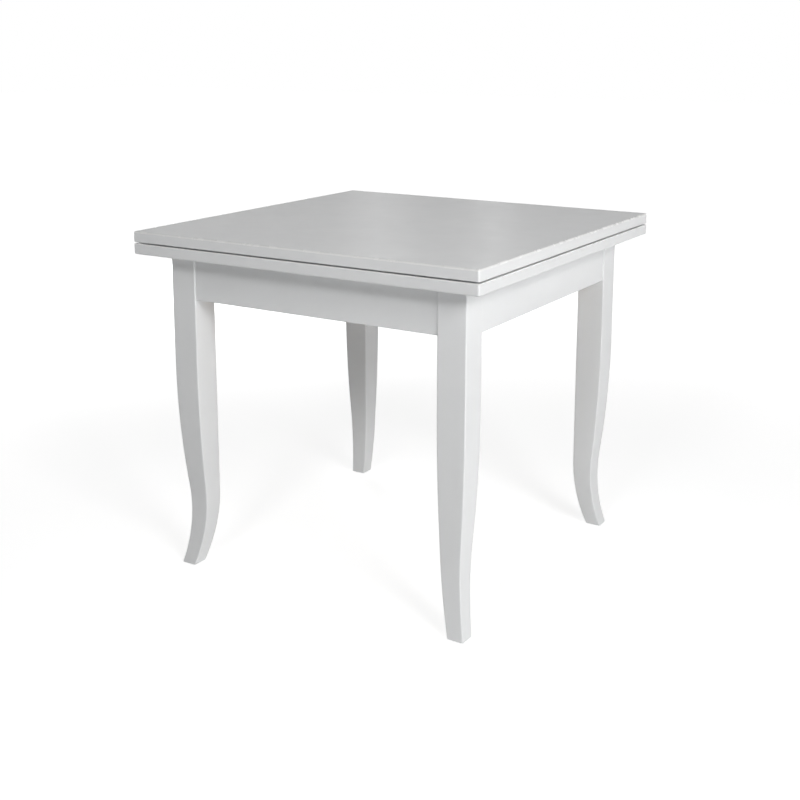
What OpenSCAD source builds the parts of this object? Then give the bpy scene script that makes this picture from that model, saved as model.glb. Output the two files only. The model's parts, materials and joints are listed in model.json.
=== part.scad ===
// Extending dining table with a book top, in millimetres.
// Two equal leaves lie one on the other on a frame with four sabre legs. The
// pair slides half its length towards +X, then the upper leaf folds over the
// -X edge and lies beside the lower one, level with it.
// X is the sliding direction, Y runs along the hinged edge and Z is up. The
// origin is on the floor, under the middle of the closed table.

/* [Leaves] */
// Length of each leaf, along the slide
leaf_l = 850; // [750:10:950]
// Width of each leaf, along the hinged edge
leaf_w = 850; // [750:10:950]
// Thickness of each leaf
leaf_t = 24; // [20:1:30]
// Gap between the closed leaves
leaf_gap = 3; // [2.5:0.5:5]
// Radius of the leaf's arrises
leaf_arris = 2.5; // [2:0.5:4]
// Radius of the leaf's four corners, seen from above
leaf_corner = 4; // [3:0.5:12]

/* [Frame] */
// Height of the legs and aprons above the floor
frame_h = 724; // [680:2:760]
// Distance from the leaf's edge to the outer face of a leg
leg_inset = 56; // [40:1:75]
// Height of the aprons
apron_h = 98; // [90:1:115]
// Thickness of the aprons
apron_t = 22; // [18:1:26]
// Distance that an apron's face lies behind the face of the legs
apron_recess = 3; // [1:0.5:6]
// Chamfer on the lower edges of an apron
apron_chamfer = 1.5; // [0.5:0.5:3]

/* [Sabre legs] */
// Side of the square leg, at the aprons
leg_w = 65; // [58:1:75]
// Side of the foot, at the floor
foot_w = 37.5; // [30:0.5:48]
// Height at which the outer faces start to curve in
bend_h = 480; // [420:5:540]
// Height of the waist, where the outer faces lie deepest
waist_h = 135; // [110:5:160]
// Depth of the waist behind the straight part of the leg
waist_depth = 17.5; // [8:0.5:22]
// Rise above the waist at which the curve turns from hollow to full
turn_rise = 52; // [35:1:80]
// Height at which the inner faces start to curve out
inner_bend_h = 171; // [140:1:220]
// Flat on each arris of a leg, measured along the diagonal
leg_ease = 1.2; // [0.6:0.1:2]

/* [Corner blocks and bolts] */
// Thickness of a corner block
block_t = 28; // [24:1:34]
// Height of a corner block
block_h = 80; // [72:1:84]
// Width of the flat on the inner corner of a leg, half of it
leg_flat = 8; // [5:0.5:10]
// Space left between the corner block and the leg, for tightening
block_gap = 2; // [1:0.5:4]
// Diameter of the hanger bolts
bolt_d = 8; // [6:1:10]
// Length of a hanger bolt in the leg
bolt_in_leg = 40; // [25:1:45]
// Length of a hanger bolt past the corner block
bolt_tail = 14; // [12:1:20]
// Distance between the two bolts of a leg
bolt_pitch = 44; // [36:1:48]
// Diameter of the washers
washer_d = 24; // [20:1:28]
// Thickness of the washers
washer_t = 2; // [1.5:0.5:3]
// Width of the nuts across their flats
nut_w = 13; // [13:1:17]
// Height of the nuts
nut_h = 6.5; // [5:0.5:8]

/* [Slide] */
// Thickness of the guide rails
rail_t = 22; // [18:1:28]
// Height of the guide rails
rail_h = 42; // [36:1:46]
// Free space between a corner block and the guide rail
rail_space = 30; // [10:1:45]
// Height of the groove in a guide rail
groove_h = 10; // [8:1:14]
// Depth of the groove in a guide rail
groove_depth = 10; // [7:1:12]
// Width of a slider beside its tongue
slider_w = 30; // [26:1:40]
// Thickness of the cross rail
cross_t = 22; // [18:1:28]
// Height of the cross rail
cross_h = 48; // [42:1:50]
// Width of the batten that joins the sliders
batten_w = 45; // [35:1:60]
// Thickness of the batten
batten_t = 22; // [20:1:26]
// Diameter of the rubber buffers that stop the slide
buffer_d = 16; // [12:1:22]
// Thickness of the buffers
buffer_t = 3; // [2:0.5:5]
// Width of the felt strips on the aprons
strip_w = 12; // [8:1:15]
// Thickness of the felt strips
strip_t = 1.7; // [1.2:0.1:3]

/* [Fastenings] */
// Diameter of the dowels
dowel_d = 8; // [6:1:10]
// Length of a dowel
dowel_l = 30; // [24:1:32]
// Diameter of the wood screws
screw_d = 4; // [3.5:0.5:4.5]
// Length of the wood screws
screw_l = 30; // [26:1:30]
// Diameter of a wood screw's pan head
screw_head_d = 8; // [7:0.5:9]
// Height of a wood screw's head
screw_head_h = 3; // [2:0.5:3.5]
// Depth of the screws' tips in the leaf or rail that they hold
screw_bite = 13; // [12:1:15]
// Distance from a slider's end to its outer screws
slider_screw_end = 25; // [15:1:45]

/* [Hinges] */
// Length of a hinge along the edge
hinge_w = 60; // [56:1:80]
// Distance from the end of the leaf to the middle of the outer hinges
hinge_end = 95; // [60:5:150]
// Reach of a hinge plate from its pin
plate_reach = 26; // [22:1:36]
// Thickness of a hinge plate
plate_t = 2.5; // [2:0.1:3]
// Width of a link, along its pins
link_w = 16; // [12:1:20]
// Width of each lug of a plate, along its pin
lug_w = 14; // [10:1:15]
// Depth of a hinge pin under the face of its leaf
pin_depth = 3.2; // [3.1:0.1:3.4]
// Diameter of a hinge pin
pin_d = 3; // [2.5:0.1:3.4]
// Diameter of the knuckles round the pins
knuckle_d = 6; // [5.6:0.1:6.1]
// Seam between the two leaves when the table is open
open_seam = 0.6; // [0.4:0.1:1]
// Diameter of the hinge screws
hinge_screw_d = 3.5; // [3:0.5:4]
// Length of the hinge screws
hinge_screw_l = 15; // [12:1:16]
// Diameter of a hinge screw's countersunk head
hinge_head_d = 7; // [6:0.5:8]
// Distance from a plate's far edge to its screws
hinge_screw_edge = 10; // [7:0.5:14]
// Distance from a plate's end to its outer screws
hinge_screw_end = 9; // [7:0.5:14]
// Thickness of a link between its knuckles
link_t = 4.8; // [4:0.1:5.4]

/* [Feet and bumpers] */
// Diameter of a foot glide
foot_glide_d = 24; // [18:1:28]
// Thickness of a foot glide
foot_glide_t = 2; // [1.5:0.5:4]
// Diameter of a foot glide's pin
foot_pin_d = 3; // [2.5:0.5:5]
// Length of a foot glide's pin in the leg
foot_pin_l = 16; // [10:1:22]
// Diameter of the bumpers between the leaves
bumper_d = 10; // [8:1:16]
// Distance from the edges of the leaf to the middle of a bumper
bumper_edge = 22; // [15:1:40]

/* [Clearances] */
// Running clearance of a pin or dowel, on the radius
pin_fit = 0.05; // [0.02:0.01:0.09]
// Clearance of a screw in its hole, on the radius
screw_fit = 0.1; // [0.05:0.05:0.2]
// Clearance over and under a part that moves past another
rest_fit = 0.3; // [0.2:0.1:0.5]
// Clearance at the side of a part that moves past another
side_fit = 0.5; // [0.3:0.1:0.8]

/* [Hidden] */

$fn = 32;
// Segments in a quarter of a rounded edge
arc_steps = 5;
// Steps along the curved part of a leg
leg_steps = 30;
// Extra length of a cut past the face that it opens
past = 1;
// Extra depth of a hole past the tip of what it holds
drill_extra = 0.5;
// Width of the cross slot in a screw's head
slot_w = 1;
// Width of a screw's or bolt's tip
tip_d = 0.6;
// Play of a bolt in a corner block, on the radius
bolt_play = 0.5;
// Play of a screw head in its pocket, on the radius
pocket_play = 1;
// Height of the sliders above the cross rail
cross_clear = 2;

lacquer = [0.93, 0.93, 0.92];
beech = [0.80, 0.66, 0.47];
zinc = [0.74, 0.75, 0.77];
nickel = [0.80, 0.79, 0.76];
felt = [0.62, 0.62, 0.60];
rubber = [0.20, 0.20, 0.20];
nylon = [0.88, 0.87, 0.84];

// Heights
leaf_z = frame_h + strip_t + rest_fit;
meet_z = leaf_z + leaf_t;
upper_z = meet_z + leaf_gap;
apron_z = frame_h - apron_h;
rail_z = frame_h - rail_h;
cross_z = rail_z - cross_h;
slider_z = rail_z + cross_clear;
groove_mid_z = rail_z + rail_h / 2;
block_mid_z = apron_z + apron_h / 2;
bolt_heights = [block_mid_z - bolt_pitch / 2, block_mid_z + bolt_pitch / 2];

// Places seen from above, in the quarter where x and y are positive
leg_out = [leaf_l / 2 - leg_inset, leaf_w / 2 - leg_inset];
leg_in = [leg_out.x - leg_w, leg_out.y - leg_w];
apron_out = [leg_out.x - apron_recess, leg_out.y - apron_recess];
apron_in = [apron_out.x - apron_t, apron_out.y - apron_t];

// Corner block, measured from the leg's inner corner along the diagonal
apron_step = leg_w - apron_recess - apron_t;
block_outer = leg_flat - block_gap;
block_inner = block_outer - block_t;
block_reach = 2 * apron_step - sqrt(2) * block_inner;
// A block screw sits midway along the block's end, its head in a pocket
block_screw_y = sqrt(2) * (block_inner + block_outer) / 2 - apron_step;
pocket_r = screw_head_d / 2 + pocket_play;
block_seat_x = sqrt(2) * block_inner - block_screw_y + pocket_r + 1;

// Slide
travel = leaf_l / 2;
rail_y = apron_in.y - block_reach - rail_space - rail_t / 2;
rail_face_y = rail_y - rail_t / 2;
slider_out_y = rail_face_y - side_fit;
slider_in_y = slider_out_y - slider_w;
slider_mid_y = (slider_out_y + slider_in_y) / 2;
slider_l = 2 * apron_in.x - travel - 2 * (buffer_t + rest_fit);
slider_x = -apron_in.x + buffer_t + rest_fit;
slider_mid_x = slider_x + slider_l / 2;
slider_screw_step = slider_l / 2 - slider_screw_end;
tongue_h = groove_h - 2 * rest_fit;
tongue_depth = groove_depth - side_fit;
screw_seat_z = leaf_z + screw_bite - screw_l;

// Hinge: the pins lie so that the open leaves meet level, with a narrow seam
pin_x = -leaf_l / 2 + pin_depth + (leaf_gap - open_seam) / 2;
lower_pin_z = meet_z - pin_depth;
upper_pin_z = upper_z + pin_depth;
mirror_z = (meet_z + upper_z) / 2;
knuckle_r = knuckle_d / 2;
lug_gap = 0.2;
pin_l = link_w + 2 * (lug_gap + lug_w);
hinge_screw_x = pin_x + plate_reach - hinge_screw_edge;
hinge_screw_step = hinge_w / 2 - hinge_screw_end;
hinge_y = leaf_w / 2 - hinge_end;

// Depth of a leg's outer face behind the straight part, at height z
function outer_depth(z) =
    z < waist_h ? waist_depth * (1 - pow((waist_h - z) / waist_h, 2)) :
    z < waist_h + turn_rise ?
        waist_depth * (1 - pow(z - waist_h, 2) / ((bend_h - waist_h) * turn_rise)) :
    z < bend_h ?
        waist_depth * pow(bend_h - z, 2) / ((bend_h - waist_h) * (bend_h - waist_h - turn_rise)) :
    0;
// Distance that a leg's inner face has moved outwards, at height z
function inner_depth(z) = z < inner_bend_h ? (leg_w - foot_w) * pow((inner_bend_h - z) / inner_bend_h, 2) : 0;
function outer_face(z) = leg_w - outer_depth(z);
function inner_face(z) = inner_depth(z);
leg_h = frame_h - foot_glide_t;
leg_levels = concat([for (i = [0:leg_steps]) bend_h * i / leg_steps], [leg_h]);
// Middle of the foot, from the leg's inner corner
foot_mid = (outer_face(0) + inner_face(0)) / 2;

// Section of a leg at height z: a square with its arrises taken off, anticlockwise from above
function leg_ring(z) = let (o = outer_face(z), i = inner_face(z), e = sqrt(2) * leg_ease)
    [[i + e, i, z], [o - e, i, z], [o, i + e, z], [o, o - e, z],
     [o - e, o, z], [i + e, o, z], [i, o - e, z], [i, i + e, z]];

// Rectangle with rounded corners, centred, as points
function round_rect(w, h, r) = [for (q = [0:3]) for (i = [0:arc_steps])
    let (a = 90 * (q + i / arc_steps),
        cx = (q == 0 || q == 3 ? 1 : -1) * (w / 2 - r),
        cy = (q < 2 ? 1 : -1) * (h / 2 - r))
    [cx + r * cos(a), cy + r * sin(a)]];

// A piece drawn for the corner at +X +Y, from the leg's inner corner
module at_corner(sx, sy) {
    mirror([sx < 0 ? 1 : 0, 0, 0]) mirror([0, sy < 0 ? 1 : 0, 0])
        translate([leg_in.x, leg_in.y, 0]) children();
}
module at_corners() {
    for (sx = [-1, 1], sy = [-1, 1]) at_corner(sx, sy) children();
}
module swap_xy() { mirror([1, -1, 0]) children(); }
module both_sides() {
    children();
    mirror([0, 1, 0]) children();
}
// The shape of a leg, from section to section, with its inner corner at the origin
module leg_shape() {
    sides = len(leg_ring(0));
    top = len(leg_levels) - 1;
    polyhedron(points = [for (z = leg_levels) each leg_ring(z)],
        faces = concat(
            [[for (j = [0:sides - 1]) j]],
            [[for (j = [sides - 1:-1:0]) top * sides + j]],
            [for (k = [0:top - 1], j = [0:sides - 1]) let (n = (j + 1) % sides)
                [k * sides + j, (k + 1) * sides + j, (k + 1) * sides + n]],
            [for (k = [0:top - 1], j = [0:sides - 1]) let (n = (j + 1) % sides)
                [k * sides + j, (k + 1) * sides + n, k * sides + n]]));
}

// Wood screw along +Z, its head's seat at the origin
module pan_screw() {
    tip = screw_d;
    difference() {
        union() {
            translate([0, 0, -screw_head_h]) cylinder(d = screw_head_d, h = screw_head_h);
            cylinder(d = screw_d, h = screw_l - tip);
            translate([0, 0, screw_l - tip]) cylinder(d1 = screw_d, d2 = tip_d, h = tip);
        }
        for (a = [0, 90]) rotate(a)
            translate([-screw_head_d / 4, -slot_w / 2, -screw_head_h - past])
                cube([screw_head_d / 2, slot_w, screw_head_h / 2 + past]);
    }
}
// Hole for that screw, with a pocket of the given depth over the head
module pan_screw_hole(pocket) {
    cylinder(d = screw_d + 2 * screw_fit, h = screw_l + drill_extra);
    translate([0, 0, -pocket]) cylinder(r = pocket_r, h = pocket);
}
// Countersunk screw along +Z, the face of its head at the origin
module flat_screw() {
    cone_h = (hinge_head_d - hinge_screw_d) / 2;
    tip = hinge_screw_d;
    difference() {
        union() {
            cylinder(d1 = hinge_head_d, d2 = hinge_screw_d, h = cone_h);
            cylinder(d = hinge_screw_d, h = hinge_screw_l - tip);
            translate([0, 0, hinge_screw_l - tip]) cylinder(d1 = hinge_screw_d, d2 = tip_d, h = tip);
        }
        for (a = [0, 90]) rotate(a)
            translate([-hinge_head_d / 4, -slot_w / 2, -past])
                cube([hinge_head_d / 2, slot_w, slot_w + past]);
    }
}
module flat_screw_hole() {
    hole_d = hinge_screw_d + 2 * screw_fit;
    cone_h = (hinge_head_d - hinge_screw_d) / 2 + 2 * screw_fit;
    cylinder(d = hole_d, h = hinge_screw_l + drill_extra);
    translate([0, 0, -screw_fit]) cylinder(d1 = hinge_head_d + 2 * screw_fit, d2 = hole_d, h = cone_h);
}
// Dowel and its hole, half on each side of the joint, along +Z
module dowel() { cylinder(d = dowel_d, h = dowel_l, center = true); }
module dowel_hole() { cylinder(d = dowel_d + 2 * pin_fit, h = dowel_l + 2 * drill_extra, center = true); }

// Places of the fastenings, as transforms
module at_hanger_bolts() {
    for (z = bolt_heights) translate([0, 0, z]) rotate([0, 0, 45]) rotate([0, 90, 0]) children();
}
module at_block_screws() {
    for (z = bolt_heights) translate([0, 0, z]) {
        translate([block_seat_x, block_screw_y, 0]) rotate([0, 90, 0]) children();
        swap_xy() translate([block_seat_x, block_screw_y, 0]) rotate([0, 90, 0]) children();
    }
}
module at_rail_dowels() {
    for (sx = [-1, 1], z = [rail_z + dowel_d, frame_h - dowel_d])
        translate([sx * apron_in.x, rail_y, z]) rotate([0, 90, 0]) children();
}
module at_cross_dowels() {
    for (z = [cross_z + cross_h / 4, cross_z + cross_h * 3 / 4])
        translate([0, apron_in.y, z]) rotate([90, 0, 0]) children();
}
module at_rail_screws() {
    translate([0, rail_y, rail_z + screw_bite - screw_l]) children();
}
module at_slider_screws() {
    for (i = [-1:1]) translate([slider_mid_x + i * slider_screw_step, slider_mid_y, screw_seat_z]) children();
}
module at_batten_screws() {
    for (i = [-1:1]) translate([slider_mid_x, i * slider_in_y / 2, screw_seat_z]) children();
}
module at_lower_hinge_screws() {
    for (i = [-1:1]) translate([hinge_screw_x, i * hinge_screw_step, meet_z])
        rotate([180, 0, 0]) children();
}
module at_lower_pin() { translate([pin_x, 0, lower_pin_z]) rotate([90, 0, 0]) children(); }
// What lies above the closed gap is the mirror of what lies below it
module above_gap() { translate([0, 0, 2 * mirror_z]) mirror([0, 0, 1]) children(); }
module at_hinges() { for (y = [-hinge_y, 0, hinge_y]) translate([0, y, 0]) children(); }

// Legs
module leg(sx, sy) {
    color(lacquer) at_corner(sx, sy) difference() {
        translate([0, 0, foot_glide_t]) leg_shape();
        rotate([0, 0, 45]) translate([-leg_flat, -2 * leg_flat, apron_z])
            cube([2 * leg_flat, 4 * leg_flat, apron_h + past]);
        at_hanger_bolts() cylinder(d = bolt_d + 2 * pin_fit, h = leg_flat + bolt_in_leg + drill_extra);
        translate([foot_mid, foot_mid, foot_glide_t - past])
            cylinder(d = foot_pin_d + 2 * pin_fit, h = foot_pin_l + drill_extra + past);
    }
}
module foot_glide(sx, sy) {
    color(nylon) at_corner(sx, sy) translate([foot_mid, foot_mid, 0]) {
        cylinder(d = foot_glide_d, h = foot_glide_t);
        cylinder(d = foot_pin_d, h = foot_glide_t + foot_pin_l);
    }
}

// Aprons, the lower edges eased
module apron_bar(length) {
    c = apron_chamfer;
    translate([-length / 2, 0, apron_z]) rotate([90, 0, 90]) linear_extrude(height = length)
        polygon([[c, 0], [apron_t - c, 0], [apron_t, c], [apron_t, apron_h], [0, apron_h], [0, c]]);
}
module apron_along_x(sy) {
    color(lacquer) difference() {
        mirror([0, sy < 0 ? 1 : 0, 0]) translate([0, apron_in.y, 0]) apron_bar(2 * leg_in.x);
        both_sides() at_cross_dowels() dowel_hole();
        at_corners() at_block_screws() pan_screw_hole(0);
    }
}
module apron_along_y(sx) {
    color(lacquer) difference() {
        mirror([sx < 0 ? 1 : 0, 0, 0]) translate([apron_in.x, 0, 0])
            swap_xy() apron_bar(2 * leg_in.y);
        both_sides() at_rail_dowels() dowel_hole();
        at_corners() at_block_screws() pan_screw_hole(0);
    }
}

// Corner block behind a leg, with its ends on the two aprons
module corner_block(sx, sy) {
    near = sqrt(2) * block_outer - apron_step;
    far = sqrt(2) * block_inner - apron_step;
    color(beech) at_corner(sx, sy) difference() {
        translate([0, 0, block_mid_z - block_h / 2]) linear_extrude(height = block_h)
            polygon([[apron_step, far], [apron_step, near], [near, apron_step], [far, apron_step]]);
        at_hanger_bolts() cylinder(d = bolt_d + 2 * bolt_play, h = 4 * block_t, center = true);
        at_block_screws() pan_screw_hole(4 * block_t);
    }
}
module hanger_bolts() {
    tip = bolt_d / 2;
    shank = bolt_tail - block_inner + leg_flat + bolt_in_leg - tip;
    color(zinc) at_corners() at_hanger_bolts() translate([0, 0, block_inner - bolt_tail]) {
        cylinder(d = bolt_d, h = shank);
        translate([0, 0, shank]) cylinder(d1 = bolt_d, d2 = tip_d, h = tip);
    }
}
module bolt_washers() {
    color(zinc) at_corners() at_hanger_bolts() translate([0, 0, block_inner - washer_t]) difference() {
        cylinder(d = washer_d, h = washer_t);
        translate([0, 0, -past]) cylinder(d = bolt_d + 2 * pin_fit, h = washer_t + 2 * past);
    }
}
module bolt_nuts() {
    color(zinc) at_corners() at_hanger_bolts() translate([0, 0, block_inner - washer_t - nut_h])
        difference() {
            cylinder(d = nut_w / cos(30), h = nut_h, $fn = 6);
            translate([0, 0, -past]) cylinder(d = bolt_d + 2 * pin_fit, h = nut_h + 2 * past);
        }
}
module corner_block_screws() {
    color(zinc) at_corners() at_block_screws() pan_screw();
}

// Guide rails between the end aprons, grooved towards the middle
module guide_rail(sy) {
    color(beech) mirror([0, sy < 0 ? 1 : 0, 0]) difference() {
        translate([-apron_in.x, rail_face_y, rail_z]) cube([2 * apron_in.x, rail_t, rail_h]);
        translate([-apron_in.x - past, rail_face_y - past, groove_mid_z - groove_h / 2])
            cube([2 * apron_in.x + 2 * past, groove_depth + past, groove_h]);
        at_rail_dowels() dowel_hole();
        at_rail_screws() pan_screw_hole(0);
    }
}
module cross_rail() {
    color(beech) difference() {
        translate([-cross_t / 2, -apron_in.y, cross_z]) cube([cross_t, 2 * apron_in.y, cross_h]);
        both_sides() at_cross_dowels() dowel_hole();
        both_sides() at_rail_screws() pan_screw_hole(cross_h);
    }
}
module frame_dowels() {
    color(beech) both_sides() {
        at_rail_dowels() dowel();
        at_cross_dowels() dowel();
    }
}
module guide_rail_screws() {
    color(zinc) both_sides() at_rail_screws() pan_screw();
}
module slide_buffers() {
    color(rubber) both_sides() for (sx = [-1, 1])
        translate([sx * (apron_in.x - buffer_t / 2), slider_mid_y, groove_mid_z]) rotate([0, 90, 0])
            cylinder(d = buffer_d, h = buffer_t, center = true);
}
module glide_strip_along_x(sy) {
    color(felt) translate([-leg_in.x, sy * (apron_in.y + apron_t / 2) - strip_w / 2, frame_h])
        cube([2 * leg_in.x, strip_w, strip_t]);
}
module glide_strip_along_y(sx) {
    color(felt) translate([sx * (apron_in.x + apron_t / 2) - strip_w / 2, -leg_in.y, frame_h])
        cube([strip_w, 2 * leg_in.y, strip_t]);
}

// A leaf with eased edges, its underside at z = 0
module leaf_board() {
    translate([0, 0, leaf_t / 2]) intersection() {
        linear_extrude(height = leaf_t, center = true)
            polygon(round_rect(leaf_l, leaf_w, leaf_corner));
        rotate([90, 0, 0]) linear_extrude(height = leaf_w + 2 * past, center = true)
            polygon(round_rect(leaf_l, leaf_t, leaf_arris));
        rotate([90, 0, 90]) linear_extrude(height = leaf_l + 2 * past, center = true)
            polygon(round_rect(leaf_w, leaf_t, leaf_arris));
    }
}
// Space for a hinge in the lower leaf: a seat for the plate, a notch for the knuckle
module hinge_mortise() {
    notch_w = pin_l + 2 * side_fit;
    notch_depth = pin_depth + knuckle_r + side_fit;
    translate([pin_x, -hinge_w / 2 - side_fit, meet_z - plate_t])
        cube([plate_reach + side_fit, hinge_w + 2 * side_fit, plate_t + past]);
    translate([-leaf_l / 2 - past, -notch_w / 2, meet_z - notch_depth])
        cube([pin_x + leaf_l / 2 + past + knuckle_r + side_fit, notch_w, notch_depth + past]);
}
module lower_leaf() {
    color(lacquer) difference() {
        translate([0, 0, leaf_z]) leaf_board();
        at_hinges() hinge_mortise();
        at_hinges() at_lower_hinge_screws() flat_screw_hole();
        both_sides() at_slider_screws() pan_screw_hole(0);
        at_batten_screws() pan_screw_hole(0);
    }
}
module upper_leaf() {
    color(lacquer) difference() {
        translate([0, 0, upper_z]) leaf_board();
        above_gap() at_hinges() hinge_mortise();
        above_gap() at_hinges() at_lower_hinge_screws() flat_screw_hole();
    }
}

// Sliders under the hinged half of the lower leaf, their tongues in the rails
module slider(sy) {
    color(beech) mirror([0, sy < 0 ? 1 : 0, 0]) difference() {
        union() {
            translate([slider_x, slider_in_y, slider_z]) cube([slider_l, slider_w, leaf_z - slider_z]);
            translate([slider_x, slider_mid_y, groove_mid_z - tongue_h / 2])
                cube([slider_l, slider_out_y - slider_mid_y + tongue_depth, tongue_h]);
        }
        at_slider_screws() pan_screw_hole(leaf_t + rail_h);
    }
}
module leaf_batten() {
    end_y = slider_in_y - screw_fit;
    color(beech) difference() {
        translate([slider_mid_x - batten_w / 2, -end_y, leaf_z - batten_t])
            cube([batten_w, 2 * end_y, batten_t]);
        at_batten_screws() pan_screw_hole(batten_t + past);
    }
}
module slider_screws() { color(zinc) both_sides() at_slider_screws() pan_screw(); }
module batten_screws() { color(zinc) at_batten_screws() pan_screw(); }

// One hinge: two mirrored plates, two pins and a link between them
module hinge_plate() {
    arm_l = knuckle_r + side_fit;
    lug_y = link_w / 2 + lug_gap;
    difference() {
        union() {
            translate([pin_x + arm_l, -hinge_w / 2, meet_z - plate_t])
                cube([plate_reach - arm_l, hinge_w, plate_t]);
            both_sides() {
                translate([pin_x, lug_y, meet_z - plate_t]) cube([arm_l + past, lug_w, plate_t]);
                translate([pin_x, lug_y + lug_w, lower_pin_z]) rotate([90, 0, 0])
                    cylinder(d = knuckle_d, h = lug_w);
            }
        }
        at_lower_pin() cylinder(d = pin_d + 2 * pin_fit, h = pin_l + 2 * past, center = true);
        at_lower_hinge_screws() flat_screw_hole();
    }
}
module hinge_pin() { at_lower_pin() cylinder(d = pin_d, h = pin_l, center = true); }
module hinge_link(y) {
    color(nickel) translate([0, y, 0]) difference() {
        union() {
            for (z = [lower_pin_z, upper_pin_z]) translate([pin_x, 0, z]) rotate([90, 0, 0])
                cylinder(d = knuckle_d, h = link_w, center = true);
            translate([pin_x - link_t / 2, -link_w / 2, lower_pin_z])
                cube([link_t, link_w, upper_pin_z - lower_pin_z]);
        }
        for (z = [lower_pin_z, upper_pin_z]) translate([pin_x, 0, z]) rotate([90, 0, 0])
            cylinder(d = pin_d + 2 * pin_fit, h = link_w + 2 * past, center = true);
    }
}
module lower_hinge_plate(y) { color(nickel) translate([0, y, 0]) hinge_plate(); }
module upper_hinge_plate(y) { color(nickel) above_gap() translate([0, y, 0]) hinge_plate(); }
module lower_hinge_screws() { color(nickel) at_hinges() at_lower_hinge_screws() flat_screw(); }
module upper_hinge_screws() {
    color(nickel) above_gap() at_hinges() at_lower_hinge_screws() flat_screw();
}
module lower_hinge_pins() { color(zinc) at_hinges() hinge_pin(); }
module upper_hinge_pins() { color(zinc) above_gap() at_hinges() hinge_pin(); }

// Bumpers along the free edge keep the closed leaves apart
module leaf_bumpers() {
    y_end = leaf_w / 2 - bumper_edge;
    color(rubber) for (y = [-y_end, 0, y_end])
        translate([leaf_l / 2 - bumper_edge, y, meet_z]) cylinder(d = bumper_d, h = leaf_gap - rest_fit);
}

leg(-1, -1);  // leg_front_left
leg(1, -1);  // leg_front_right
leg(-1, 1);  // leg_back_left
leg(1, 1);  // leg_back_right
foot_glide(-1, -1);  // foot_glide_front_left
foot_glide(1, -1);  // foot_glide_front_right
foot_glide(-1, 1);  // foot_glide_back_left
foot_glide(1, 1);  // foot_glide_back_right
apron_along_x(-1);  // apron_front
apron_along_x(1);  // apron_back
apron_along_y(-1);  // apron_left
apron_along_y(1);  // apron_right
corner_block(-1, -1);  // corner_block_front_left
corner_block(1, -1);  // corner_block_front_right
corner_block(-1, 1);  // corner_block_back_left
corner_block(1, 1);  // corner_block_back_right
hanger_bolts();
bolt_washers();
bolt_nuts();
corner_block_screws();
guide_rail(-1);  // guide_rail_front
guide_rail(1);  // guide_rail_back
cross_rail();
frame_dowels();
guide_rail_screws();
slide_buffers();
glide_strip_along_x(-1);  // glide_strip_front
glide_strip_along_x(1);  // glide_strip_back
glide_strip_along_y(-1);  // glide_strip_left
glide_strip_along_y(1);  // glide_strip_right
lower_leaf();
slider(-1);  // slider_front
slider(1);  // slider_back
leaf_batten();
slider_screws();
batten_screws();
lower_hinge_plate(-hinge_y);  // lower_hinge_plate_front
lower_hinge_plate(0);  // lower_hinge_plate_middle
lower_hinge_plate(hinge_y);  // lower_hinge_plate_back
lower_hinge_screws();
lower_hinge_pins();
leaf_bumpers();
hinge_link(-hinge_y);  // hinge_link_front
hinge_link(0);  // hinge_link_middle
hinge_link(hinge_y);  // hinge_link_back
upper_leaf();
upper_hinge_plate(-hinge_y);  // upper_hinge_plate_front
upper_hinge_plate(0);  // upper_hinge_plate_middle
upper_hinge_plate(hinge_y);  // upper_hinge_plate_back
upper_hinge_screws();
upper_hinge_pins();
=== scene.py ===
import json
import math

import bmesh
import bpy
from mathutils import Matrix, Vector

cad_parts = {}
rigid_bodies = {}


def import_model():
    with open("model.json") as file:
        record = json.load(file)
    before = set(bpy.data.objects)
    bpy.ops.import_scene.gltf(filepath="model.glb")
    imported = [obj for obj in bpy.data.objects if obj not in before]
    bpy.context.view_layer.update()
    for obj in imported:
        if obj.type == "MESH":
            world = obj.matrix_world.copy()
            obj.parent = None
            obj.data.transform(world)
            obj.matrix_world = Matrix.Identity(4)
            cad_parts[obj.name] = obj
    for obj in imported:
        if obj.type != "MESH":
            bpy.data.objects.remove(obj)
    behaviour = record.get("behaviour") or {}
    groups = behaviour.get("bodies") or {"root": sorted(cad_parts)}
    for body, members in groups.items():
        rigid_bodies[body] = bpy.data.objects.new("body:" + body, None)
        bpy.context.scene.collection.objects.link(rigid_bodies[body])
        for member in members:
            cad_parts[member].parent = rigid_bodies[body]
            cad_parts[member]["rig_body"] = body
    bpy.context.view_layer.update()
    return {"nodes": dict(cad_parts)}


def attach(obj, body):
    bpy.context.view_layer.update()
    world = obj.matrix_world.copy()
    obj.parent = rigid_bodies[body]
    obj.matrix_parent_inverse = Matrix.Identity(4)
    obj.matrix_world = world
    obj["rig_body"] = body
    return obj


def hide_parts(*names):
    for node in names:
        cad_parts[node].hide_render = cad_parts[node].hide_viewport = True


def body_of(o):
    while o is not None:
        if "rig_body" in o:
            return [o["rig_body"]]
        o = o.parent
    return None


# Extending dining table with a book top: satin white lacquer outside, beech and steel inside.
# Metres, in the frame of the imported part: X is the slide, Y the hinged edge, Z up, floor at 0.

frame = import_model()
scene = bpy.context.scene
print("frame: the packed table is in")


# camera, at the photograph's viewing angle

cameraFit = {
    "place": (1.4328, -2.3255, 1.1874),
    "turn": 31.77,  # degrees from +Y towards -X
    "tilt": 11.31,  # degrees below level
    "lens": 54.45,  # mm
    "sensor": 36,  # mm wide
    "shift": -0.15,  # straightens the uprights; a larger one would crop the other views
}

cameraData = bpy.data.cameras.new("camera")
cameraData.sensor_width = cameraFit["sensor"]
cameraData.lens = cameraFit["lens"]
cameraData.shift_y = cameraFit["shift"]
camera = bpy.data.objects.new("camera", cameraData)
camera.location = cameraFit["place"]
camera.rotation_euler = (math.radians(90 - cameraFit["tilt"]), 0, math.radians(cameraFit["turn"]))
scene.collection.objects.link(camera)
scene.camera = camera
print("camera: set")


# helpers for colours and nodes


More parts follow.
